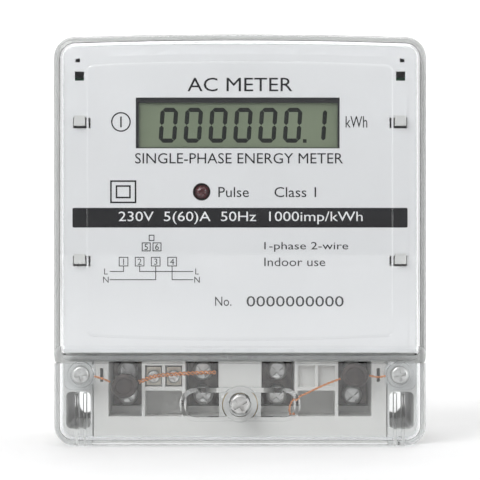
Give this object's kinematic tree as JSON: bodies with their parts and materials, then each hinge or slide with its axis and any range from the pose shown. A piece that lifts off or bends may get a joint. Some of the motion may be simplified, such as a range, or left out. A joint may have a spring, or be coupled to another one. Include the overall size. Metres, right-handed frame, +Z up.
{
  "type": "electricity meter",
  "caption": "Wall-mounted single-phase electronic energy meter: grey base, clear sealed cover over a nameplate with display, clear lift-off terminal cover, bottom wire entries.",
  "frame": {"origin": "middle of the flat back that lies on the wall", "axes": "+Z up, front facing -Y, +Y into the wall, +X to the right seen from the front"},
  "size_m": [0.113, 0.0522, 0.125],
  "materials": {
    "grey_plastic": "light grey moulded plastic with a fine spark texture",
    "clear_plastic": "clear polycarbonate, polished",
    "printed_plate": "pale grey printed plastic plate with black lettering",
    "black_plastic": "black moulded plastic",
    "display_green": "grey-green liquid crystal glass",
    "contact_rubber": "striped conductive rubber",
    "board_green": "green solder mask with copper tracks",
    "red_lens": "dark red transparent lens",
    "chip_black": "black moulded epoxy",
    "tinned_steel": "plain tinned can",
    "plated_brass": "dull nickel-plated brass",
    "zinc_steel": "bright zinc-plated steel",
    "brass": "turned brass",
    "copper": "bare copper",
    "manganin": "dull resistance alloy",
    "lead_grey": "dull pressed lead",
    "capacitor_yellow": "yellow moulded case",
    "capacitor_sleeve": "dark blue shrink sleeve",
    "varistor_blue": "blue dipped coating",
    "resistor_beige": "beige cement coating",
    "red_insulation": "red wire insulation",
    "black_insulation": "black wire insulation",
    "blue_insulation": "blue wire insulation",
    "white_insulation": "white wire insulation"
  },
  "bodies": {
    "case": {"base_housing": "grey_plastic", "main_cover": "clear_plastic", "terminal_block": "grey_plastic", "nameplate": "printed_plate", "display_bezel": "black_plastic", "display_glass": "display_green", "contact_strip_upper": "contact_rubber", "contact_strip_lower": "contact_rubber", "metering_board": "board_green", "pulse_led": "red_lens", "crystal_can": "tinned_steel", "metering_chip": "chip_black", "controller_chip": "chip_black", "optocoupler": "chip_black", "mains_capacitor": "capacitor_yellow", "smoothing_capacitor": "capacitor_sleeve", "varistor": "varistor_blue", "fusible_resistor": "resistor_beige", "board_screw_upper_left": "zinc_steel", "board_screw_lower_left": "zinc_steel", "cover_screw_left": "zinc_steel", "board_screw_upper_right": "zinc_steel", "board_screw_lower_right": "zinc_steel", "cover_screw_right": "zinc_steel", "terminal_1": "plated_brass", "terminal_2": "plated_brass", "terminal_3": "plated_brass", "terminal_4": "plated_brass", "pulse_terminal_5": "brass", "pulse_terminal_6": "brass", "shunt_strap_in": "copper", "shunt_resistor": "manganin", "shunt_strap_out": "copper", "neutral_link": "copper", "insert_bush": "brass", "lead_seal_left": "lead_grey", "lead_seal_right": "lead_grey", "seal_wire_loop_left": "copper", "seal_wire_loop_right": "copper", "seal_wire_tail_left": "copper", "seal_wire_tail_right": "copper", "sense_wire_red": "red_insulation", "sense_wire_black": "black_insulation", "neutral_wire": "blue_insulation", "pulse_wire_5": "white_insulation", "pulse_wire_6": "white_insulation"},
    "terminal_cover": {"terminal_cover": "clear_plastic"},
    "seal_screw": {"seal_screw": "zinc_steel"},
    "terminal_screw_1_lower": {"terminal_screw_1_lower": "zinc_steel"},
    "terminal_screw_1_upper": {"terminal_screw_1_upper": "zinc_steel"},
    "terminal_screw_2_lower": {"terminal_screw_2_lower": "zinc_steel"},
    "terminal_screw_2_upper": {"terminal_screw_2_upper": "zinc_steel"},
    "terminal_screw_3_lower": {"terminal_screw_3_lower": "zinc_steel"},
    "terminal_screw_3_upper": {"terminal_screw_3_upper": "zinc_steel"},
    "terminal_screw_4_lower": {"terminal_screw_4_lower": "zinc_steel"},
    "terminal_screw_4_upper": {"terminal_screw_4_upper": "zinc_steel"},
    "pulse_screw_5": {"pulse_screw_5": "zinc_steel"},
    "pulse_screw_6": {"pulse_screw_6": "zinc_steel"}
  },
  "joints": [
    {"name": "terminal_cover_lift", "type": "slide", "parent": "case", "child": "terminal_cover", "axis": [0, -1, 0], "range_m": [0, 0.03]},
    {"name": "seal_screw_travel", "type": "slide", "parent": "terminal_cover", "child": "seal_screw", "axis": [0, -1, 0], "range_m": [0, 0.006]},
    {"name": "terminal_screw_1_lower_travel", "type": "slide", "parent": "case", "child": "terminal_screw_1_lower", "axis": [0, -1, 0], "range_m": [0, 0.0066]},
    {"name": "terminal_screw_1_upper_travel", "type": "slide", "parent": "case", "child": "terminal_screw_1_upper", "axis": [0, -1, 0], "range_m": [0, 0.0066]},
    {"name": "terminal_screw_2_lower_travel", "type": "slide", "parent": "case", "child": "terminal_screw_2_lower", "axis": [0, -1, 0], "range_m": [0, 0.0066]},
    {"name": "terminal_screw_2_upper_travel", "type": "slide", "parent": "case", "child": "terminal_screw_2_upper", "axis": [0, -1, 0], "range_m": [0, 0.0066]},
    {"name": "terminal_screw_3_lower_travel", "type": "slide", "parent": "case", "child": "terminal_screw_3_lower", "axis": [0, -1, 0], "range_m": [0, 0.0066]},
    {"name": "terminal_screw_3_upper_travel", "type": "slide", "parent": "case", "child": "terminal_screw_3_upper", "axis": [0, -1, 0], "range_m": [0, 0.0066]},
    {"name": "terminal_screw_4_lower_travel", "type": "slide", "parent": "case", "child": "terminal_screw_4_lower", "axis": [0, -1, 0], "range_m": [0, 0.0066]},
    {"name": "terminal_screw_4_upper_travel", "type": "slide", "parent": "case", "child": "terminal_screw_4_upper", "axis": [0, -1, 0], "range_m": [0, 0.0066]},
    {"name": "pulse_screw_5_travel", "type": "slide", "parent": "case", "child": "pulse_screw_5", "axis": [0, -1, 0], "range_m": [0, 0.0028]},
    {"name": "pulse_screw_6_travel", "type": "slide", "parent": "case", "child": "pulse_screw_6", "axis": [0, -1, 0], "range_m": [0, 0.0028]}
  ]
}
